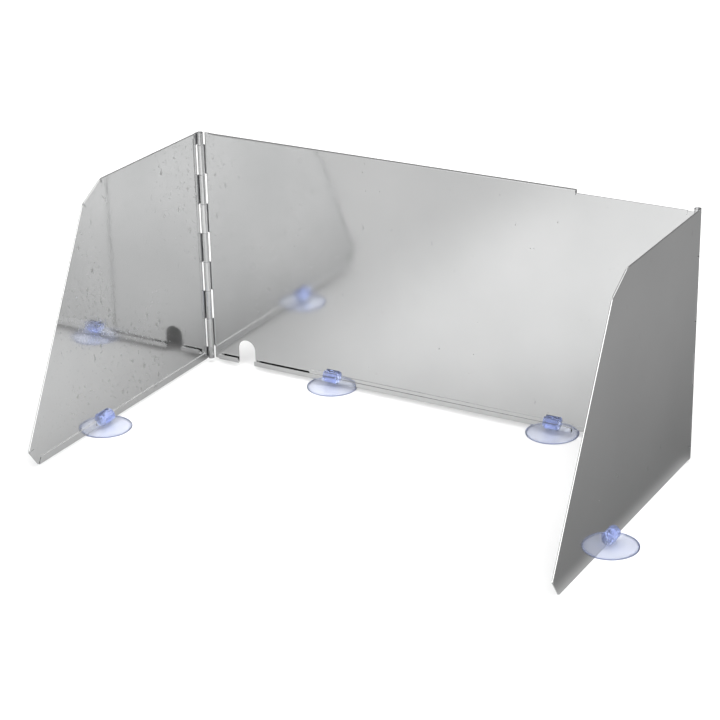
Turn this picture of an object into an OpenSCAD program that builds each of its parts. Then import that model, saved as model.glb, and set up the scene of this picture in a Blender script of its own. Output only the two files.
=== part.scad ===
// Folding splash guard for a hob: a back wall of two telescoping steel panels, a hinged wing
// at each end, and soft suction cups that clip on the bottom edges and hold it down.
// Millimetres, +Z up, origin on the ground at the centre of the whole guard.
// The back wall runs along X, and the wings point to -Y, towards the cook.

/* [Sheets] */
// Thickness of the sheet steel
sheet_t = 0.6; // [0.5:0.1:0.8]
// Height of the wings and of the rear back panel
sheet_h = 236; // [180:1:300]
// Gap under the sheets, kept open by the suction cups
foot_gap = 4.5; // [4:0.5:8]
// Thickness across a folded safety hem
hem_t = 1.4; // [1.3:0.1:2.6]
// Width of the wings' bottom and chamfer hems
hem_w = 7; // [4:0.5:10]
// Width of the wings' narrow front hems
front_hem_w = 2; // [1.5:0.1:7]
// Width of the wings' top hems
top_hem_w = 4.5; // [3:0.5:8]

/* [Back wall] */
// Width of each back panel, from its hinge axis to its free edge
panel_w = 396; // [300:1:480]
// How far the two panels are drawn apart, from one panel's width
pull_out = 114; // [60:1:200]
// Height of the folded lips of the channels
lip_h = 5; // [4:0.5:8]
// Clear gap on each side of the sliding panel in its channel
slide_gap = 0.4; // [0.3:0.1:0.6]
// Clear gap above and below the sliding panel
slide_gap_z = 2.8; // [1:0.1:4]
// Distance from the hinge axis to the start of the channels
channel_start = 9.5; // [7:0.5:20]

/* [Cut-out] */
// Width of the arched cut-out
arch_w = 19.4; // [10:0.1:40]
// Height of the arched cut-out
arch_h = 25; // [20:0.5:50]
// Distance from the hinge axis to the middle of the cut-out
arch_pos = 41.5; // [32:0.5:80]

/* [Wings] */
// Depth of a wing at its foremost point
wing_d = 292.5; // [220:0.5:360]
// Run and rise of the small chamfer at the bottom front corner
foot_chamfer = [12.5, 17.5]; // [5:0.5:30]
// Run and drop of the large chamfer at the top front corner
top_chamfer = [28.5, 16]; // [10:0.5:60]
// Length of the wing's top edge, from the hinge axis
wing_top = 159; // [100:0.5:200]

/* [Hinges] */
// Diameter of the hinge pin
pin_d = 4.8; // [4:0.1:5.4]
// Radial running clearance of the pin
pin_clear = 0.05; // [0.02:0.01:0.08]
// Radial interference of the pin in the wing's end knuckles
pin_grip = 0.02; // [0.01:0.01:0.03]
// Wall of the rolled knuckles
knuckle_wall = 0.65; // [0.5:0.05:1]
// Height of the short knuckle at each end
end_knuckle = 12.3; // [8:0.1:20]
// Number of long knuckles between the two short ones
long_knuckles = 7; // [5:2:11]
// Gap between neighbouring knuckles
knuckle_gap = 0.6; // [0.4:0.1:1]
// Gap between a knuckle and the other sheet's edge
leaf_gap = 0.7; // [0.5:0.1:3]
// How far the pin's ends sit below the hinge's ends
pin_recess = 1; // [0.5:0.1:3]

/* [Suction cups] */
// Diameter of a suction disc
cup_d = 50; // [40:1:60]
// Thickness of the disc's rim
rim_t = 0.9; // [0.6:0.1:1.5]
// Width of the flat ring that meets the hob
rim_land = 1.2; // [0.8:0.1:3]
// Height of the top of the disc at its neck
dome_h = 3.2; // [2.5:0.1:3.5]
// Height of the hollow under the disc
hollow_h = 1.4; // [1:0.1:2]
// Diameter of the neck
neck_d = 13.4; // [10:0.1:16]
// Length of the clip's head, along the sheet
head_l = 15; // [10:0.5:20]
// Diameter of the clip's barrel-shaped head, across the sheet
head_d = 13; // [11:0.5:16]
// Depth of the waist under the barrel, across the sheet
waist_d = 10.4; // [9:0.1:12]
// Height of the top of the clip's head
head_top = 17; // [15:0.5:22]
// Clear gap between a clip and the sheet that it holds
clip_gap = 0.3; // [0.2:0.05:0.5]
// How much wider than its slot the round relief along the slot's bottom is
relief = 1.6; // [0.4:0.1:2]
// Distance of the left back cup from the left hinge axis
cup_back_left_pos = 140.5; // [90:0.5:170]
// Distance of the right back cup from the rear panel's free edge
cup_back_right_inset = 19.2; // [12:0.1:60]
// Distance of a wing's cup from its hinge axis
cup_wing_pos = 177.6; // [100:0.1:220]

/* [Hidden] */
$fn = 48;
steel = "silver";
soft = "lightsteelblue";
cut = 1;                                       // how far cutting bodies reach past a face
back_w = panel_w + pull_out;                   // from hinge axis to hinge axis
bore_r = pin_d / 2 + pin_clear;
knuckle_r = bore_r + knuckle_wall;
leaf_edge = knuckle_r + leaf_gap;              // where a sheet's edge clears the other's knuckles
knuckle_pitch = (sheet_h - 2 * end_knuckle) / long_knuckles;
channel_d = hem_t + 2 * slide_gap + 2 * sheet_t;
channel_mid = knuckle_r - channel_d / 2;       // middle of the channel, behind the hinge axis
slider_back = knuckle_r - sheet_t - slide_gap; // rear face of the sliding panel
slider_z = sheet_t + slide_gap_z;              // lower edge of the sliding panel
slider_h = sheet_h - 2 * slider_z;
wing_mid = knuckle_r - hem_t / 2;              // middle of a wing's hem, outside the hinge axis
wing_bottom = wing_d - foot_chamfer[0];
wing_outline = [[leaf_edge, 0], [wing_bottom, 0], [wing_d, foot_chamfer[1]],
                [wing_top + top_chamfer[0], sheet_h - top_chamfer[1]],
                [wing_top, sheet_h], [leaf_edge, sheet_h]];
wing_hems = [hem_w, hem_w, front_hem_w, hem_w, top_hem_w, 0];
rim_hems = [sheet_t, sheet_t, sheet_t, sheet_t, sheet_t, 0];
cup_reach = channel_mid + cup_d / 2;           // how far the back cups reach behind the hinge axes
axis_y = (wing_d - cup_reach) / 2;             // centres the guard on the origin

// The lower end of knuckle i, counted from the bottom, and its height
function knuckle_z(i) = i == 0 ? 0 : end_knuckle + (i - 1) * knuckle_pitch;
function knuckle_top(i) = i > long_knuckles ? sheet_h : end_knuckle + i * knuckle_pitch;

// The unit direction from one point to the next, and a cross product
function way(a, b) = (b - a) / norm(b - a);
function turn(a, b) = a[0] * b[1] - a[1] * b[0];
// Where two lines meet, each given by a point and a direction
function meet(p, u, q, v) = p + u * turn(q - p, v) / turn(u, v);
// A corner of an outline whose edges have each moved inwards by their own distance
function inset_corner(pts, ds, i) =
    let (n = len(pts), h = (i + n - 1) % n,
         u = way(pts[h], pts[i]), v = way(pts[i], pts[(i + 1) % n]))
    meet(pts[i] + ds[h] * [-u[1], u[0]], u, pts[i] + ds[i] * [-v[1], v[0]], v);
function inset(pts, ds) = [for (i = [0 : len(pts) - 1]) inset_corner(pts, ds, i)];

// An upright plate whose outline lies in X and Z, from y to y + t
module plate(y, t) {
    translate([0, y + t, 0]) rotate([90, 0, 0]) linear_extrude(t) children();
}

// Places its children at the left or right hinge axis, with +X along the back wall
module at_hinge(side) {
    translate([side * back_w / 2, axis_y, foot_gap])
        mirror([side > 0 ? 1 : 0, 0, 0]) children();
}

// The rolled knuckles with numbers of one parity, and the tabs that join them to a sheet
// whose near face lies at tab_y
module knuckles(odd, tab_y) {
    for (i = [0 : long_knuckles + 1])
        if (i % 2 == odd) {
            low = knuckle_z(i) + (i == 0 ? 0 : knuckle_gap / 2);
            high = knuckle_top(i) - (i > long_knuckles ? 0 : knuckle_gap / 2);
            translate([0, 0, low]) {
                cylinder(r = knuckle_r, h = high - low);
                translate([0, tab_y, 0]) cube([leaf_edge + cut, sheet_t, high - low]);
            }
        }
}

module arch() {
    translate([-arch_w / 2, -cut]) square([arch_w, arch_h - arch_w / 2 + cut]);
    translate([0, arch_h - arch_w / 2]) circle(d = arch_w);
}

// One channel: the web along the sheet's edge and the lip in front of it
module channel() {
    translate([channel_start, knuckle_r - channel_d, 0]) {
        cube([panel_w - channel_start, channel_d, sheet_t]);
        cube([panel_w - channel_start, sheet_t, lip_h]);
    }
}

// Rear panel, hinged on the left, with the channels that the front panel runs in
module back_panel_left() color(steel) at_hinge(-1) difference() {
    union() {
        plate(knuckle_r - sheet_t, sheet_t)
            translate([leaf_edge, 0]) square([panel_w - leaf_edge, sheet_h]);
        channel();
        translate([0, 0, sheet_h]) mirror([0, 0, 1]) channel();
        knuckles(1, knuckle_r - sheet_t);
    }
    translate([0, 0, -cut]) cylinder(r = bore_r, h = sheet_h + 2 * cut);
    plate(knuckle_r - channel_d - cut, channel_d + 2 * cut) translate([arch_pos, 0]) arch();
}

// Front panel, hinged on the right, with hems that slide in the rear panel's channels
module back_panel_right() color(steel) at_hinge(1) difference() {
    union() {
        plate(slider_back - sheet_t, sheet_t)
            translate([leaf_edge, slider_z]) square([panel_w - leaf_edge, slider_h]);
        for (z = [slider_z, slider_z + slider_h - sheet_t])
            translate([channel_start, slider_back - hem_t, z])
                cube([panel_w - channel_start, hem_t, sheet_t]);
        for (z = [slider_z, slider_z + slider_h - lip_h])
            translate([channel_start, slider_back - hem_t, z])
                cube([panel_w - channel_start, sheet_t, lip_h]);
        knuckles(1, slider_back - sheet_t);
    }
    translate([0, 0, -cut]) cylinder(r = bore_r, h = sheet_h + 2 * cut);
}

// A wing on the hinge axis, pointing along +X, with its outer face at y = knuckle_r
module wing() difference() {
    union() {
        plate(knuckle_r - sheet_t, sheet_t) polygon(wing_outline);
        plate(knuckle_r - hem_t, hem_t) difference() {
            polygon(wing_outline);
            polygon(inset(wing_outline, rim_hems));
        }
        plate(knuckle_r - hem_t, sheet_t) difference() {
            polygon(wing_outline);
            polygon(inset(wing_outline, wing_hems));
        }
        knuckles(0, knuckle_r - sheet_t);
    }
    translate([0, 0, end_knuckle]) cylinder(r = bore_r, h = sheet_h - 2 * end_knuckle);
    translate([0, 0, -cut]) cylinder(r = pin_d / 2 - pin_grip, h = sheet_h + 2 * cut);
}

module hung_wing(side) at_hinge(side) rotate([0, 0, -90]) mirror([0, 1, 0]) wing();
module wing_left() color(steel) hung_wing(-1);
module wing_right() color(steel) hung_wing(1);

module hinge_pin() {
    translate([0, 0, pin_recess]) cylinder(d = pin_d, h = sheet_h - 2 * pin_recess);
}
module hinge_pin_left() color(steel) at_hinge(-1) hinge_pin();
module hinge_pin_right() color(steel) at_hinge(1) hinge_pin();

// The disc's top at a share s of the way from the neck to the rim
function disc_top(s) = rim_t + (dome_h - rim_t) * pow(1 - s, 1.5);

// A suction cup standing on the ground, whose clip holds a sheet of thickness held along X
module suction_cup(held) color(soft) {
    r = cup_d / 2;
    slot = held + 2 * clip_gap;
    slot_z = foot_gap - clip_gap;
    difference() {
        union() {
            rotate_extrude() polygon(concat(
                [[0, hollow_h], [neck_d / 2, hollow_h], [r - rim_land, 0], [r, 0]],
                [for (s = [1 : -0.125 : 0]) [neck_d / 2 + s * (r - neck_d / 2), disc_top(s)]],
                [[0, dome_h]]));
            translate([0, 0, hollow_h]) cylinder(d = neck_d, h = foot_gap - hollow_h);
            translate([-head_l / 2, -waist_d / 2, hollow_h])
                cube([head_l, waist_d, head_top - head_d / 2 - hollow_h]);
            translate([-head_l / 2, 0, head_top - head_d / 2])
                rotate([0, 90, 0]) cylinder(d = head_d, h = head_l);
        }
        translate([-head_l / 2 - cut, -slot / 2, slot_z]) cube([head_l + 2 * cut, slot, head_top]);
        translate([-head_l / 2 - cut, 0, slot_z + (slot + relief) / 2])
            rotate([0, 90, 0]) cylinder(d = slot + relief, h = head_l + 2 * cut);
    }
}

module cup_back_left()
    translate([cup_back_left_pos - back_w / 2, axis_y + channel_mid, 0]) suction_cup(channel_d);
module cup_back_right()
    translate([panel_w - cup_back_right_inset - back_w / 2, axis_y + channel_mid, 0])
        suction_cup(channel_d);
module cup_wing(side)
    translate([side * (back_w / 2 + wing_mid), axis_y - cup_wing_pos, 0])
        rotate([0, 0, 90]) suction_cup(hem_t);
module cup_wing_left() cup_wing(-1);
module cup_wing_right() cup_wing(1);

back_panel_left();
back_panel_right();
wing_left();
wing_right();
hinge_pin_left();
hinge_pin_right();
cup_back_left();
cup_back_right();
cup_wing_left();
cup_wing_right();
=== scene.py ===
import math

import bmesh
import bpy
from mathutils import Matrix, Vector


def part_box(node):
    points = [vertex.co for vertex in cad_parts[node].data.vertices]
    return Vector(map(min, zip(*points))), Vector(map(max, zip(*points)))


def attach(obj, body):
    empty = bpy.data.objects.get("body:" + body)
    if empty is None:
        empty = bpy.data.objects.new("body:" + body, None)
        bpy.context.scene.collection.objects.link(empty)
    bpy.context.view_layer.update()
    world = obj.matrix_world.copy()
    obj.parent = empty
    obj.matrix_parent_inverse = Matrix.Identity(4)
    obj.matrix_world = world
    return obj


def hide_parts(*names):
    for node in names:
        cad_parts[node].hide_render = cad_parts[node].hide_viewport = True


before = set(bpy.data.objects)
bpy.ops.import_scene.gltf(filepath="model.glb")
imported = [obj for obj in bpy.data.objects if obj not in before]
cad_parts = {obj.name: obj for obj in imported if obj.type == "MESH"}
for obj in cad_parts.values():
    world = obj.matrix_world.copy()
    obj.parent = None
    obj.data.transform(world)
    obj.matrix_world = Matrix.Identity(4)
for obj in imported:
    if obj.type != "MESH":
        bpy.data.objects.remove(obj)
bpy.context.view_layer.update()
print("frame loaded")

mm = 0.001

# Places that come from the frame: the hinge axes, the ground gap and the overall sizes
pinLow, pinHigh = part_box("hinge_pin_left")
wingLow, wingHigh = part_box("wing_left")
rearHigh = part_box("back_panel_left")[1]
frontLow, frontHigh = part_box("back_panel_right")
leftAxis = Vector(((pinLow.x + pinHigh.x) / 2, (pinLow.y + pinHigh.y) / 2, wingLow.z))
rightAxis = Vector((-leftAxis.x, leftAxis.y, wingLow.z))
sheetHeight = wingHigh.z - wingLow.z
knuckleRadius = leftAxis.x - wingLow.x
wingDepth = leftAxis.y - wingLow.y
panelWidth = rearHigh.x - leftAxis.x

sheetMetal = {
    "thickness": 0.6 * mm,
    "hemThickness": 1.4 * mm,
    "bendRadius": 0.9 * mm,    # middle of the sheet round a channel's corners
    "notch": 1.2 * mm,         # corner relief between two folds
    "mitreGap": 0.4 * mm,
    "slideGap": 0.4 * mm,      # on each side of the front panel in its channel
    "foldSteps": 8,
}

hinge = {
    "endKnuckle": 12.3 * mm,
    "longKnuckles": 7,
    "gap": 0.6 * mm,
    "leafGap": 0.7 * mm,
    "roll": 296,               # degrees that a knuckle is rolled past the tangent
    "rollSteps": 26,
}

halfSheet = sheetMetal["thickness"] / 2
hemRadius = (sheetMetal["hemThickness"] - sheetMetal["thickness"]) / 2
hemInset = hemRadius + halfSheet
rollRadius = knuckleRadius - halfSheet
leafEdge = knuckleRadius + hinge["leafGap"]
knucklePitch = (sheetHeight - 2 * hinge["endKnuckle"]) / hinge["longKnuckles"]


# Sheets are built in a leaf's own frame: x away from the hinge axis, y outwards, z up

def knuckleSpan(i):
    # lower and upper end of knuckle i, counted from the bottom
    last = hinge["longKnuckles"] + 1
    low = 0 if i == 0 else hinge["endKnuckle"] + (i - 1) * knucklePitch + hinge["gap"] / 2
    high = sheetHeight if i == last else hinge["endKnuckle"] + i * knucklePitch - hinge["gap"] / 2
    return low, high


def shiftedCorners(corners, amounts):
    # corners of an outline whose edges have each moved inwards by their own amount
    made = []
    count = len(corners)
    for i in range(count):
        before = (corners[i] - corners[i - 1]).normalized()
        after = (corners[(i + 1) % count] - corners[i]).normalized()
        p = corners[i] + Vector((-before.y, before.x)) * amounts[i - 1]
        q = corners[i] + Vector((-after.y, after.x)) * amounts[i]
        turn = before.x * after.y - before.y * after.x
        if abs(turn) < 1e-9:
            made.append(q)
            continue
        along = ((q - p).x * after.y - (q - p).y * after.x) / turn
        made.append(p + before * along)
    return made


def endEdges(geom):
    return [g for g in geom if isinstance(g, bmesh.types.BMEdge)]


def turnEdges(bm, edges, pivot, axis, degrees, steps):
    verts = list({v for e in edges for v in e.verts})
    made = bmesh.ops.spin(bm, geom=verts + edges, cent=pivot, axis=axis, dvec=(0, 0, 0),
                          angle=math.radians(degrees), steps=steps, use_merge=False)
    return endEdges(made["geom_last"])


def pushEdges(bm, edges, move):
    made = bmesh.ops.extrude_edge_only(bm, edges=edges)["geom"]
    verts = [g for g in made if isinstance(g, bmesh.types.BMVert)]
    bmesh.ops.translate(bm, verts=verts, vec=move)
    return [e for e in endEdges(made) if e.verts[0] in verts and e.verts[1] in verts]


def layFace(bm, points, y):
    # one flat face through the points, and its vertices in order
    verts = [bm.verts.new((p[0], y, p[1])) for p in points]
    bm.faces.new(verts)
    return verts


def foldHem(bm, first, second, width, startCut, endCut):
    # a closed hem along one edge of a face, folded to the inner side, its flap's ends cut back
    edge = bm.edges.get((first, second))
    along = (second.co - first.co).normalized()
    outward = Vector((along.z, 0, -along.x))
    pivot = first.co - Vector((0, hemRadius, 0))
    folded = turnEdges(bm, [edge], pivot, -along, 180, sheetMetal["foldSteps"])
    flap = pushEdges(bm, folded, -outward * (width - hemInset))
    for e in flap:
        ends = sorted(e.verts, key=lambda v: v.co.dot(along))
        ends[0].co += along * startCut
        ends[-1].co -= along * endCut


def foldChannel(bm, first, second, depth, lip):
    # a web across the edge and a lip in front of the sheet
    radius = sheetMetal["bendRadius"]
    steps = sheetMetal["foldSteps"] // 2
    edge = bm.edges.get((first, second))
    along = (second.co - first.co).normalized()
    outward = Vector((along.z, 0, -along.x))
    forward = Vector((0, -1, 0))
    bent = turnEdges(bm, [edge], first.co + forward * radius, -along, 90, steps)
    web = pushEdges(bm, bent, forward * (depth - sheetMetal["thickness"] - 2 * radius))
    corner = web[0].verts[0].co - outward * radius
    bent = turnEdges(bm, web, corner, -along, 90, steps)
    pushEdges(bm, bent, -outward * (lip - radius - halfSheet))


def rollKnuckles(bm, verts, parity, y):
    # tabs from the leaf's edge to the hinge axis, rolled round the pin
    for i in range(hinge["longKnuckles"] + 2):
        if i % 2 != parity:
            continue
        low, high = knuckleSpan(i)
        ends = [v for v in verts if abs(v.co.x - leafEdge) < 1e-6 and low - 1e-6 < v.co.z < high + 1e-6]
        ends.sort(key=lambda v: v.co.z)
        edges = [bm.edges.get(pair) for pair in zip(ends, ends[1:])]
        tab = pushEdges(bm, [e for e in edges if e], (-leafEdge, rollRadius - y, 0))
        turnEdges(bm, tab, (0, 0, 0), (0, 0, 1), hinge["roll"], hinge["rollSteps"])


def hingeSide(parity, bottom, top):
    # points down the hinge edge of a leaf, from its top to its bottom
    heights = [top, bottom]
    for i in range(hinge["longKnuckles"] + 2):
        if i % 2 == parity:
            heights += knuckleSpan(i)
    heights = sorted({round(h, 7) for h in heights if bottom - 1e-7 <= h <= top + 1e-7}, reverse=True)
    return [(leafEdge, h) for h in heights]


def meshPiece(bm, name):
    mesh = bpy.data.meshes.new(name)
    bm.to_mesh(mesh)
    bm.free()
    piece = bpy.data.objects.new(name, mesh)
    bpy.context.collection.objects.link(piece)
    return piece


def finishSheet(bm, name, place, mirrored, material, body, node):
    # gives the folded leaf its thickness, puts it in its place and hangs it on its body
    bmesh.ops.recalc_face_normals(bm, faces=bm.faces)
    bmesh.ops.transform(bm, matrix=place, verts=bm.verts)
    if mirrored:
        bmesh.ops.reverse_faces(bm, faces=bm.faces)
    piece = meshPiece(bm, name)
    wall = piece.modifiers.new("wall", "SOLIDIFY")
    wall.thickness = sheetMetal["thickness"]
    wall.offset = 0
    wall.use_even_offset = True
    applyModifiers(piece)
    smoothSmallFaces(piece, 40, 1e-4)
    dress(piece, material, body, node)


def applyModifiers(piece):
    # the evaluated mesh takes the place of the plain one
    ready = piece.evaluated_get(bpy.context.evaluated_depsgraph_get())
    mesh = bpy.data.meshes.new_from_object(ready)
    old = piece.data
    piece.modifiers.clear()
    piece.data = mesh
    bpy.data.meshes.remove(old)
    mesh.name = piece.name


def smoothSmallFaces(piece, degrees, flatArea):
    # round folds are shaded smooth, and wide flat faces stay flat
    piece.data.shade_smooth()
    piece.data.set_sharp_from_angle(angle=math.radians(degrees))
    for face in piece.data.polygons:
        if face.area > flatArea:
            face.use_smooth = False


def dress(piece, material, body, node):
    piece.data.materials.clear()
    piece.data.materials.append(material)
    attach(piece, body)
    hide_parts(node)


def newMaterial(name):
    material = bpy.data.materials.new(name)
    material.use_nodes = True
    nodes = material.node_tree.nodes
    nodes.clear()
    out = nodes.new("ShaderNodeOutputMaterial")
    shader = nodes.new("ShaderNodeBsdfPrincipled")
    material.node_tree.links.new(shader.outputs["BSDF"], out.inputs["Surface"])
    return material, nodes, material.node_tree.links, shader


def noiseNode(nodes, links, vector, scale, detail, roughness=0.5):
    noise = nodes.new("ShaderNodeTexNoise")
    noise.inputs["Scale"].default_value = scale
    noise.inputs["Detail"].default_value = detail
    noise.inputs["Roughness"].default_value = roughness
    links.new(vector, noise.inputs["Vector"])
    return noise.outputs["Fac"]


def stretched(nodes, links, vector, scale):
    mapping = nodes.new("ShaderNodeMapping")
    mapping.inputs["Scale"].default_value = scale
    links.new(vector, mapping.inputs["Vector"])
    return mapping.outputs["Vector"]


def remap(nodes, links, value, low, high, newLow, newHigh):
    node = nodes.new("ShaderNodeMapRange")
    node.inputs["From Min"].default_value = low
    node.inputs["From Max"].default_value = high
    node.inputs["To Min"].default_value = newLow
    node.inputs["To Max"].default_value = newHigh
    links.new(value, node.inputs["Value"])
    return node.outputs["Result"]


def combine(nodes, links, operation, first, second):
    node = nodes.new("ShaderNodeMath")
    node.operation = operation
    for socket, value in zip(node.inputs, (first, second)):
        if isinstance(value, (int, float)):
            socket.default_value = value
        else:
            links.new(value, socket)
    return node.outputs[0]


def bumpNode(nodes, links, height, distance, strength, normal=None):
    bump = nodes.new("ShaderNodeBump")
    bump.inputs["Distance"].default_value = distance
    bump.inputs["Strength"].default_value = strength
    links.new(height, bump.inputs["Height"])
    if normal:
        links.new(normal, bump.inputs["Normal"])
    return bump.outputs["Normal"]


steelLook = {
    "dark": (0.745, 0.75, 0.75, 1),
    "bright": (0.81, 0.813, 0.813, 1),
    "speck": (0.52, 0.52, 0.52, 1),
    "roughLow": 0.035,
    "roughHigh": 0.085,
    "grain": (900, 900, 12),     # rolling grain runs up the sheet
    "wave": 0.35,                # very shallow unevenness that bends the reflections
    "waveScale": (5, 5, 9),
    "waveDepth": 0.0012,
    "cloudScale": 9,             # lighter and darker patches
    "smearScale": (14, 14, 40),  # wiping streaks, in the roughness
    "marks": 0.02,               # share of places that carry a small dent or stain
    "markScale": 85,
    "fineScale": 260,
    "scarScale": 150,
    "wobbleScale": 260,
    "wobble": 0.006,             # how far the outlines of the marks wander
}


def spotMask(nodes, links, vector, scale, radius, share):
    # scattered small marks: cells of a voronoi pattern, of which only a share carries a mark
    cells = nodes.new("ShaderNodeTexVoronoi")
    cells.inputs["Scale"].default_value = scale
    links.new(vector, cells.inputs["Vector"])
    near = remap(nodes, links, cells.outputs["Distance"], radius * 0.5, radius, 1, 0)
    pick = nodes.new("ShaderNodeSeparateColor")
    links.new(cells.outputs["Color"], pick.inputs[0])
    chosen = combine(nodes, links, "LESS_THAN", pick.outputs[0], share)
    return combine(nodes, links, "MULTIPLY", near, chosen)


def polishedSteel(name, look):
    material, nodes, links, shader = newMaterial(name)
    place = nodes.new("ShaderNodeTexCoord").outputs["Object"]
    grain = noiseNode(nodes, links, stretched(nodes, links, place, look["grain"]), 1, 3)
    cloud = noiseNode(nodes, links, place, look["cloudScale"], 4)
    smear = noiseNode(nodes, links, stretched(nodes, links, place, look["smearScale"]), 1, 5, 0.6)
    wobble = nodes.new("ShaderNodeTexNoise")
    wobble.inputs["Scale"].default_value = look["wobbleScale"]
    links.new(place, wobble.inputs["Vector"])
    bent = nodes.new("ShaderNodeMix")
    bent.data_type = "VECTOR"
    bent.inputs["Factor"].default_value = look["wobble"]
    links.new(place, bent.inputs["A"])
    links.new(wobble.outputs["Color"], bent.inputs["B"])
    tall = stretched(nodes, links, bent.outputs["Result"], (1, 1, 0.45))
    marks = spotMask(nodes, links, tall, look["markScale"], 0.14, look["marks"])
    fine = spotMask(nodes, links, bent.outputs["Result"], look["fineScale"], 0.24, look["marks"] * 1.6)
    taller = stretched(nodes, links, bent.outputs["Result"], (1, 1, 0.3))
    scars = spotMask(nodes, links, taller, look["scarScale"], 0.2, look["marks"])
    patch = remap(nodes, links, cloud, 0.42, 0.58, 0.2, 1)
    worn = combine(nodes, links, "MAXIMUM", combine(nodes, links, "MAXIMUM", marks, fine), scars)
    worn = combine(nodes, links, "MULTIPLY", worn, patch)
    tone = nodes.new("ShaderNodeMix")
    tone.data_type = "RGBA"
    tone.inputs["A"].default_value = look["dark"]
    tone.inputs["B"].default_value = look["bright"]
    links.new(remap(nodes, links, cloud, 0.3, 0.7, 0, 1), tone.inputs["Factor"])
    spotted = nodes.new("ShaderNodeMix")
    spotted.data_type = "RGBA"
    spotted.inputs["B"].default_value = look["speck"]
    links.new(tone.outputs["Result"], spotted.inputs["A"])
    links.new(combine(nodes, links, "MULTIPLY", worn, 0.8), spotted.inputs["Factor"])
    links.new(spotted.outputs["Result"], shader.inputs["Base Color"])
    rough = remap(nodes, links, smear, 0.3, 0.7, look["roughLow"], look["roughHigh"])
    rough = combine(nodes, links, "ADD", rough, combine(nodes, links, "MULTIPLY", grain, 0.03))
    rough = combine(nodes, links, "ADD", rough, combine(nodes, links, "MULTIPLY", worn, 0.25))
    links.new(rough, shader.inputs["Roughness"])
    shader.inputs["Metallic"].default_value = 1
    wave = noiseNode(nodes, links, stretched(nodes, links, place, look["waveScale"]), 1, 2)
    normal = bumpNode(nodes, links, wave, look["waveDepth"], look["wave"])
    normal = bumpNode(nodes, links, grain, 0.00002, 0.25, normal)
    normal = bumpNode(nodes, links, worn, 0.00005, 0.4, normal)
    links.new(normal, shader.inputs["Normal"])
    return material


cup = {
    "rim": 0.9 * mm,
    "land": 1.2 * mm,
    "dome": 3.2 * mm,
    "hollow": 1.4 * mm,
    "neck": 6.7 * mm,
    "waist": 5.2 * mm,
    "flareLift": 0.2 * mm,
    "headLength": 15 * mm,
    "headRadius": 6.5 * mm,
    "headTop": 17 * mm,
    "edgeRound": 0.8 * mm,
    "clipGap": 0.3 * mm,
    "relief": 1.6 * mm,
    "headDepth": 0.55,
    "turns": 96,
}

vinylLook = {
    "thin": (0.80, 0.84, 0.99, 1),
    "thick": (0.48, 0.56, 0.90, 1),
    "tint": (0.42, 0.58, 1.0, 1),
    "density": 30,
    "clear": 0.94,
    "thinAlpha": 0.42,
    "thickAlpha": 0.94,
    "roughness": 0.025,
    "refraction": 1.5,
    "smudgeScale": 160,
}


def clearVinyl(name, look):
    # clear and faintly milky, and tinted inside
    # the attribute depth is 0 on the thin disc, headDepth in the clip and 1 at the rim
    material, nodes, links, shader = newMaterial(name)
    place = nodes.new("ShaderNodeTexCoord").outputs["Object"]
    smudge = noiseNode(nodes, links, place, look["smudgeScale"], 3)
    depth = nodes.new("ShaderNodeAttribute")
    depth.attribute_name = "depth"
    tone = nodes.new("ShaderNodeMix")
    tone.data_type = "RGBA"
    tone.inputs["A"].default_value = look["thin"]
    tone.inputs["B"].default_value = look["thick"]
    cloudy = remap(nodes, links, smudge, 0.3, 0.7, -0.05, 0.05)
    links.new(combine(nodes, links, "ADD", depth.outputs["Fac"], cloudy), tone.inputs["Factor"])
    links.new(tone.outputs["Result"], shader.inputs["Base Color"])
    links.new(remap(nodes, links, smudge, 0.3, 0.7, look["roughness"] * 0.6, look["roughness"] * 2),
              shader.inputs["Roughness"])
    shader.inputs["IOR"].default_value = look["refraction"]
    shader.inputs["Transmission Weight"].default_value = look["clear"]
    alpha = remap(nodes, links, depth.outputs["Fac"], 0, cup["headDepth"],
                  look["thinAlpha"], look["thickAlpha"])
    links.new(alpha, shader.inputs["Alpha"])
    links.new(bumpNode(nodes, links, smudge, 0.0001, 0.2), shader.inputs["Normal"])
    inside = nodes.new("ShaderNodeVolumeAbsorption")
    inside.inputs["Color"].default_value = look["tint"]
    inside.inputs["Density"].default_value = look["density"]
    out = next(n for n in nodes if n.type == "OUTPUT_MATERIAL")
    links.new(inside.outputs["Volume"], out.inputs["Volume"])
    return material


# the left wing's steel: a darker copy of the same steel, which is painted shade, and many more small dents
# and stains
wingShadeAndWearLook = {
    **steelLook,
    "dark": (0.67, 0.675, 0.675, 1),
    "bright": (0.73, 0.733, 0.733, 1),
    "marks": 0.45,
}

pinLook = {
    **steelLook,
    "dark": (0.3, 0.3, 0.31, 1),
    "bright": (0.4, 0.4, 0.41, 1),
    "roughLow": 0.25,
    "roughHigh": 0.38,
}

sheetSteel = polishedSteel("sheetSteel", steelLook)
wingShadeAndWearSteel = polishedSteel("wingShadeAndWearSteel", wingShadeAndWearLook)
pinSteel = polishedSteel("pinSteel", pinLook)
vinyl = clearVinyl("clearVinyl", vinylLook)
print("materials ready")

wing = {
    "footRun": 12.5 * mm,
    "footRise": 17.5 * mm,
    "topEdge": 159 * mm,
    "shoulderRun": 28.5 * mm,
    "shoulderDrop": 16 * mm,
    "hem": 7 * mm,
    "frontHem": 2 * mm,
    "topHem": 4.5 * mm,
}


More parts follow.
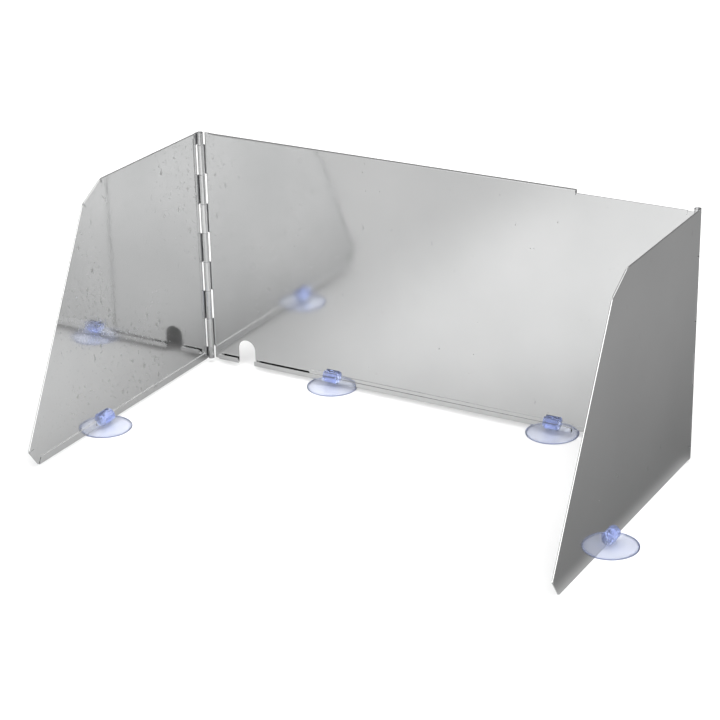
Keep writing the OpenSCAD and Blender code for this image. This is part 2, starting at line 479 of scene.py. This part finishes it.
def wingLeaf():
    corners = [Vector(p) for p in (
        (leafEdge, 0),
        (wingDepth - wing["footRun"], 0),
        (wingDepth, wing["footRise"]),
        (wing["topEdge"] + wing["shoulderRun"], sheetHeight - wing["shoulderDrop"]),
        (wing["topEdge"], sheetHeight),
        (leafEdge, sheetHeight))]
    hems = [wing["hem"], wing["hem"], wing["frontHem"], wing["hem"], wing["topHem"]]
    inner = shiftedCorners(corners, [hemInset] * len(hems) + [0])
    notch = sheetMetal["notch"]
    points = []
    for i in range(len(hems)):
        along = (inner[i + 1] - inner[i]).normalized()
        points += [inner[i], inner[i] + along * notch, inner[i + 1] - along * notch]
    points[0] = Vector((leafEdge + 0.8 * notch, 0))
    points += [Vector((leafEdge + 0.8 * notch, sheetHeight))] + hingeSide(0, 0, sheetHeight)
    bm = bmesh.new()
    verts = layFace(bm, points, rollRadius)
    for i, width in enumerate(hems):
        cuts = []
        for corner in (i, i + 1):
            if corner in (0, len(hems)):
                cuts.append(notch)
                continue
            a = (corners[corner - 1] - corners[corner]).angle(corners[corner + 1] - corners[corner])
            cuts.append(max(0, (width - hemInset) / math.tan(a / 2) + sheetMetal["mitreGap"] - notch))
        foldHem(bm, verts[3 * i + 1], verts[3 * i + 2], width, *cuts)
    rollKnuckles(bm, verts, 0, rollRadius)
    return bm


# x away from the hinge becomes -Y, and y outwards becomes -X or +X
leftTurn = Matrix(((0, -1, 0, leftAxis.x), (-1, 0, 0, leftAxis.y), (0, 0, 1, leftAxis.z), (0, 0, 0, 1)))
rightTurn = Matrix(((0, 1, 0, rightAxis.x), (-1, 0, 0, rightAxis.y), (0, 0, 1, rightAxis.z), (0, 0, 0, 1)))
# the left wing wears the darker copy of the steel, painted shade
finishSheet(wingLeaf(), "wingLeftSheet", leftTurn, True, wingShadeAndWearSteel, "left_wing", "wing_left")
finishSheet(wingLeaf(), "wingRightSheet", rightTurn, False, sheetSteel, "right_wing", "wing_right")
print("wings folded")

rearPanel = {
    "lip": 5 * mm,
    "channelStart": 9.5 * mm,
    "archWidth": 19.4 * mm,
    "archHeight": 25 * mm,
    "archMiddle": 41.5 * mm,
    "archSteps": 20,
}
channelDepth = sheetMetal["hemThickness"] + 2 * sheetMetal["slideGap"] + 2 * sheetMetal["thickness"]


def rearLeaf():
    edge = sheetMetal["bendRadius"] + halfSheet
    archRadius = rearPanel["archWidth"] / 2
    archLeft = rearPanel["archMiddle"] - archRadius
    archRight = rearPanel["archMiddle"] + archRadius
    archSpring = rearPanel["archHeight"] - archRadius
    start = rearPanel["channelStart"]
    points = [(leafEdge, 0), (start - halfSheet, 0), (start, edge), (archLeft, edge)]
    for i in range(rearPanel["archSteps"] + 1):
        a = math.pi * (1 - i / rearPanel["archSteps"])
        points.append((rearPanel["archMiddle"] + archRadius * math.cos(a),
                       archSpring + archRadius * math.sin(a)))
    points += [(archRight, edge), (panelWidth, edge)]
    points += [(panelWidth, sheetHeight - edge), (start, sheetHeight - edge)]
    points += [(start - halfSheet, sheetHeight), (leafEdge, sheetHeight)]
    points += hingeSide(1, 0, sheetHeight)[1:-1]
    bm = bmesh.new()
    verts = layFace(bm, points, rollRadius)
    archEnd = 4 + rearPanel["archSteps"] + 1
    for first in (2, archEnd, archEnd + 2):
        foldChannel(bm, verts[first], verts[first + 1], channelDepth, rearPanel["lip"])
    rollKnuckles(bm, verts, 1, rollRadius)
    return bm


def frontLeaf():
    middle = knuckleRadius - sheetMetal["thickness"] - sheetMetal["slideGap"] - halfSheet
    low = sliderLow + hemInset
    high = sliderHigh - hemInset
    notch = sheetMetal["notch"]
    start = rearPanel["channelStart"]
    points = [(leafEdge, low), (start, low), (panelWidth - notch, low), (panelWidth, low),
              (panelWidth, high), (panelWidth - notch, high), (start, high), (leafEdge, high)]
    points += hingeSide(1, low, high)[1:-1]
    bm = bmesh.new()
    verts = layFace(bm, points, middle)
    foldHem(bm, verts[1], verts[2], rearPanel["lip"], notch, 0)
    foldHem(bm, verts[5], verts[6], rearPanel["lip"], 0, notch)
    rollKnuckles(bm, verts, 1, middle)
    return bm


sliderLow = frontLow.z - leftAxis.z
sliderHigh = frontHigh.z - leftAxis.z
leftPlace = Matrix.Translation(leftAxis)
rightPlace = Matrix.Translation(rightAxis) @ Matrix.Diagonal((-1, 1, 1, 1))
finishSheet(rearLeaf(), "rearPanelSheet", leftPlace, False, sheetSteel, "rear_panel", "back_panel_left")
finishSheet(frontLeaf(), "frontPanelSheet", rightPlace, True, sheetSteel, "front_panel", "back_panel_right")
print("back wall folded")


pin = {
    "segments": 32,
    "endRound": 0.5 * mm,
    "roundSteps": 3,
}


def hingePin(name, axis, body, node):
    radius = (pinHigh.x - pinLow.x) / 2
    bm = bmesh.new()
    bmesh.ops.create_circle(bm, cap_ends=True, segments=pin["segments"], radius=radius)
    grown = bmesh.ops.extrude_face_region(bm, geom=bm.faces[:])["geom"]
    top = [g for g in grown if isinstance(g, bmesh.types.BMVert)]
    bmesh.ops.translate(bm, verts=top, vec=(0, 0, pinHigh.z - pinLow.z))
    ends = [e for e in bm.edges if abs(e.verts[0].co.z - e.verts[1].co.z) < 1e-7]
    bmesh.ops.bevel(bm, geom=ends, offset=pin["endRound"], offset_type="OFFSET", affect="EDGES",
                    segments=pin["roundSteps"], profile=0.5, material=-1)
    bmesh.ops.recalc_face_normals(bm, faces=bm.faces)
    bmesh.ops.translate(bm, verts=bm.verts, vec=(axis.x, axis.y, pinLow.z))
    piece = meshPiece(bm, name)
    smoothSmallFaces(piece, 40, 1)
    dress(piece, pinSteel, body, node)


hingePin("hingePinLeft", leftAxis, "left_wing", "hinge_pin_left")
hingePin("hingePinRight", rightAxis, "right_wing", "hinge_pin_right")
print("hinge pins made")

def arcPoints(centre, radius, start, end, count):
    made = []
    for i in range(count + 1):
        a = math.radians(start + (end - start) * i / count)
        made.append((centre[0] + radius * math.cos(a), centre[1] + radius * math.sin(a)))
    return made


def suctionDisc(radius):
    # half a section of the disc and its neck, spun round the cup's axis
    steps = 14
    profile = [(0, cup["hollow"])]
    for i in range(1, steps + 1):
        s = i / steps
        profile.append((s * (radius - cup["land"]), cup["hollow"] * (1 - s ** 1.7)))
    profile += arcPoints((radius - cup["rim"] / 2, cup["rim"] / 2), cup["rim"] / 2, -90, 70, 6)
    for i in range(steps + 1):
        s = i / steps
        r = radius - cup["rim"] / 2 - s * (radius - cup["rim"] / 2 - cup["neck"])
        profile.append((r, cup["rim"] * 0.97 + (cup["dome"] - cup["rim"]) * s ** 1.6))
    flare = cup["neck"] - cup["waist"]
    lift = cup["flareLift"]
    profile += arcPoints((cup["neck"] + lift, cup["dome"] + flare + lift), flare + lift, -95, -180, 6)
    profile += [(cup["waist"], cup["headTop"] - cup["headRadius"] - 2 * mm)]
    profile += [(0, cup["headTop"] - cup["headRadius"] - 1.5 * mm)]
    bm = bmesh.new()
    verts = [bm.verts.new((p[0], 0, p[1])) for p in profile]
    edges = [bm.edges.new(pair) for pair in zip(verts, verts[1:])]
    bmesh.ops.spin(bm, geom=verts + edges, cent=(0, 0, 0), axis=(0, 0, 1), dvec=(0, 0, 0),
                   angle=math.tau, steps=cup["turns"], use_merge=True)
    bmesh.ops.remove_doubles(bm, verts=bm.verts, dist=1e-6)
    bmesh.ops.recalc_face_normals(bm, faces=bm.faces)
    return bm


def prism(points, length, rounding):
    # a section in the y-z plane, drawn out along x, with its end edges rounded
    bm = bmesh.new()
    verts = [bm.verts.new((-length / 2, p[0], p[1])) for p in points]
    grown = bmesh.ops.extrude_face_region(bm, geom=[bm.faces.new(verts)])["geom"]
    far = [g for g in grown if isinstance(g, bmesh.types.BMVert)]
    bmesh.ops.translate(bm, verts=far, vec=(length, 0, 0))
    bmesh.ops.recalc_face_normals(bm, faces=bm.faces)
    if rounding:
        ends = [e for e in bm.edges if abs(e.verts[0].co.x - e.verts[1].co.x) < 1e-7]
        bmesh.ops.bevel(bm, geom=ends, offset=rounding, offset_type="OFFSET", affect="EDGES",
                        segments=4, profile=0.5, material=-1, clamp_overlap=True)
    return bm


def clipHead():
    r = cup["headRadius"]
    circle = arcPoints((0, cup["headTop"] - r), r, 0, 360, 72)[:-1]
    return prism(circle, cup["headLength"], cup["edgeRound"])


def clipSlot(slotWidth, groundGap):
    # the slot for the sheet and the round relief at its root
    reliefRadius = (slotWidth + cup["relief"]) / 2
    reliefMiddle = groundGap - cup["clipGap"] + reliefRadius
    turn = math.degrees(math.asin(slotWidth / 2 / reliefRadius))
    keyhole = arcPoints((0, reliefMiddle), reliefRadius, 90 - turn, -270 + turn, 32)
    keyhole += [(-slotWidth / 2, cup["headTop"] * 1.2), (slotWidth / 2, cup["headTop"] * 1.2)]
    return prism(keyhole, cup["headLength"] * 1.4, 0)


def booleanStep(piece, toolMesh, operation):
    tool = meshPiece(toolMesh, piece.name + operation)
    step = piece.modifiers.new(operation, "BOOLEAN")
    step.operation = operation
    step.solver = "EXACT"
    step.object = tool
    bpy.context.view_layer.update()
    applyModifiers(piece)
    bpy.data.objects.remove(tool)


def suctionCup(name, node, body, slotWidth, alongY):
    low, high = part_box(node)
    centre = (low + high) / 2
    radius = (high.x - low.x) / 2
    piece = meshPiece(suctionDisc(radius), name)
    booleanStep(piece, clipHead(), "UNION")
    booleanStep(piece, clipSlot(slotWidth, leftAxis.z), "DIFFERENCE")
    depth = piece.data.attributes.new("depth", "FLOAT", "POINT")
    for i, v in enumerate(piece.data.vertices):
        r = math.hypot(v.co.x, v.co.y)
        rim = max(0, 1 - abs(r - radius) / (2 * cup["rim"]))
        inHead = min(1, max(0, (v.co.z - cup["dome"]) / cup["dome"]))
        depth.data[i].value = max(rim, inHead * cup["headDepth"])
    turn = Matrix.Rotation(math.pi / 2 if alongY else 0, 4, "Z")
    piece.data.transform(Matrix.Translation((centre.x, centre.y, 0)) @ turn)
    smoothSmallFaces(piece, 45, 2e-5)
    dress(piece, vinyl, body, node)


backSlot = channelDepth + 2 * cup["clipGap"]
wingSlot = sheetMetal["hemThickness"] + 2 * cup["clipGap"]
suctionCup("cupBackLeft", "cup_back_left", "back_left_cup", backSlot, False)
suctionCup("cupBackRight", "cup_back_right", "back_right_cup", backSlot, False)
suctionCup("cupWingLeft", "cup_wing_left", "left_wing_cup", wingSlot, True)
suctionCup("cupWingRight", "cup_wing_right", "right_wing_cup", wingSlot, True)
print("suction cups made")

studio = {
    "floorSize": 24,
    "floorTone": (0.9, 0.9, 0.9, 1),
    "floorShade": (0.891, 0.891, 0.891, 1),
    "skySide": (0.75, -0.62, 0.25),
    "skyDark": 0.25,
    "skyBright": 1.9,
    "overheadPlace": (-0.3, -0.3, 3.2),
    "overheadSize": 4.2,
    "overheadPower": 96,
    "windowPlace": (1.9, -0.7, 1.5),
    "windowSize": 0.9,
    "windowPower": 16,
    # the flag values below tone the card that paints shade on the floor's reflection in the steel
    "flagHeight": 0.2 * mm,
    "flagNear": 0.53,        # how much of the floor's light the steel gets, close to the back wall
    "flagFar": 0.61,         # and further in front of it
    "flagSide": 0.76,        # share that is left of it beside the left wing
    "flagOpen": 1.13,        # and in front of the right half of the wall
    "flagDark": 0.155,       # behind the guard and to its right, where it stands
    "flagDusk": 0.235,       # and further away
}


def studioFloor():
    bm = bmesh.new()
    bmesh.ops.create_grid(bm, x_segments=2, y_segments=2, size=studio["floorSize"] / 2)
    floor = meshPiece(bm, "studioFloor")
    material, nodes, links, shader = newMaterial("paleFloor")
    place = nodes.new("ShaderNodeTexCoord").outputs["Object"]
    tone = nodes.new("ShaderNodeMix")
    tone.data_type = "RGBA"
    tone.inputs["A"].default_value = studio["floorTone"]
    tone.inputs["B"].default_value = studio["floorShade"]
    links.new(noiseNode(nodes, links, place, 3, 2), tone.inputs["Factor"])
    links.new(tone.outputs["Result"], shader.inputs["Base Color"])
    shader.inputs["Roughness"].default_value = 0.9
    shader.inputs["Specular IOR Level"].default_value = 0.1
    floor.data.materials.append(material)


def smoothRamp(nodes, links, value, low, high, newLow, newHigh):
    result = remap(nodes, links, value, low, high, newLow, newHigh)
    result.node.interpolation_type = "SMOOTHSTEP"
    return result


def reflectionShadeCard():
    # a card that only reflections see, its tone painted by place
    # it is painted shade on the floor's reflection in the steel, most of all behind the guard
    bm = bmesh.new()
    bmesh.ops.create_grid(bm, x_segments=1, y_segments=1, size=studio["floorSize"] / 2)
    bmesh.ops.translate(bm, verts=bm.verts, vec=(0, 0, studio["flagHeight"]))
    card = meshPiece(bm, "reflectionShadeCard")
    material, nodes, links, shader = newMaterial("reflectionShadeCard")
    split = nodes.new("ShaderNodeSeparateXYZ")
    links.new(nodes.new("ShaderNodeTexCoord").outputs["Object"], split.inputs[0])
    x, y = split.outputs[0], split.outputs[1]
    side = smoothRamp(nodes, links, x, leftAxis.x - 0.02, leftAxis.x + 0.16, studio["flagSide"], 1)
    opened = smoothRamp(nodes, links, x, -0.12, 0.2, 1, studio["flagOpen"])
    depth = smoothRamp(nodes, links, y, leftAxis.y - 0.45, leftAxis.y - 0.05,
                       studio["flagFar"], studio["flagNear"])
    right = smoothRamp(nodes, links, x, rightAxis.x - 0.01, rightAxis.x + 0.02, 1, 0)
    behind = smoothRamp(nodes, links, y, leftAxis.y - 0.01, leftAxis.y + 0.03, 1, 0)
    tone = nodes.new("ShaderNodeMix")
    dusk = smoothRamp(nodes, links, x, rightAxis.x, rightAxis.x + 0.2, studio["flagDark"], studio["flagDusk"])
    links.new(dusk, tone.inputs["A"])
    side = combine(nodes, links, "MULTIPLY", side, opened)
    links.new(combine(nodes, links, "MULTIPLY", side, depth), tone.inputs["B"])
    links.new(combine(nodes, links, "MULTIPLY", right, behind), tone.inputs["Factor"])
    clear = nodes.new("ShaderNodeBsdfTransparent")
    links.new(tone.outputs["Result"], clear.inputs["Color"])
    out = next(n for n in nodes if n.type == "OUTPUT_MATERIAL")
    links.new(clear.outputs["BSDF"], out.inputs["Surface"])
    nodes.remove(shader)
    card.data.materials.append(material)
    card.visible_camera = False
    card.visible_diffuse = False
    card.visible_shadow = False
    card.visible_transmission = False


def softLight(name, target, mirrored):
    place = studio[name + "Place"]
    data = bpy.data.lights.new(name, "AREA")
    data.shape = "SQUARE"
    data.size = studio[name + "Size"]
    data.energy = studio[name + "Power"]
    light = bpy.data.objects.new(name, data)
    bpy.context.collection.objects.link(light)
    light.location = place
    light.rotation_euler = (Vector(target) - Vector(place)).to_track_quat("-Z", "Y").to_euler()
    light.visible_glossy = mirrored


def surroundings():
    # a soft sky, bright over the camera's right shoulder and darker behind the guard
    world = bpy.data.worlds.new("studioSky")
    bpy.context.scene.world = world
    world.use_nodes = True
    nodes = world.node_tree.nodes
    links = world.node_tree.links
    sky = nodes["Background"]
    sky.inputs["Color"].default_value = (1, 1, 1, 1)
    turn = nodes.new("ShaderNodeVectorMath")
    turn.operation = "DOT_PRODUCT"
    turn.inputs[1].default_value = Vector(studio["skySide"]).normalized()
    links.new(nodes.new("ShaderNodeTexCoord").outputs["Generated"], turn.inputs[0])
    glow = smoothRamp(nodes, links, turn.outputs["Value"], -0.1, 0.75, studio["skyDark"], studio["skyBright"])
    path = nodes.new("ShaderNodeLightPath").outputs["Is Camera Ray"]
    links.new(combine(nodes, links, "MAXIMUM", glow, path), sky.inputs["Strength"])


camera = {
    "place": (0.8581, -1.481, 0.8309),
    "target": (0.0001, -0.0076, 0.1043),
    "roll": -1.32,
    "lens": 105.2,
}


def studioCamera():
    data = bpy.data.cameras.new("studioCamera")
    data.lens = camera["lens"]
    data.sensor_width = 36
    data.clip_start = 0.05
    data.clip_end = 60
    eye = bpy.data.objects.new("studioCamera", data)
    bpy.context.collection.objects.link(eye)
    eye.location = camera["place"]
    look = (Vector(camera["target"]) - Vector(camera["place"])).to_track_quat("-Z", "Y")
    eye.rotation_euler = (look.to_matrix() @ Matrix.Rotation(math.radians(camera["roll"]), 3, "Z")).to_euler()
    bpy.context.scene.camera = eye


studioFloor()
reflectionShadeCard()
softLight("overhead", (0, 0, 0), False)
softLight("window", (0, 0, 0.1), True)
surroundings()
studioCamera()
bpy.context.scene.view_settings.view_transform = "Standard"
print("studio ready")
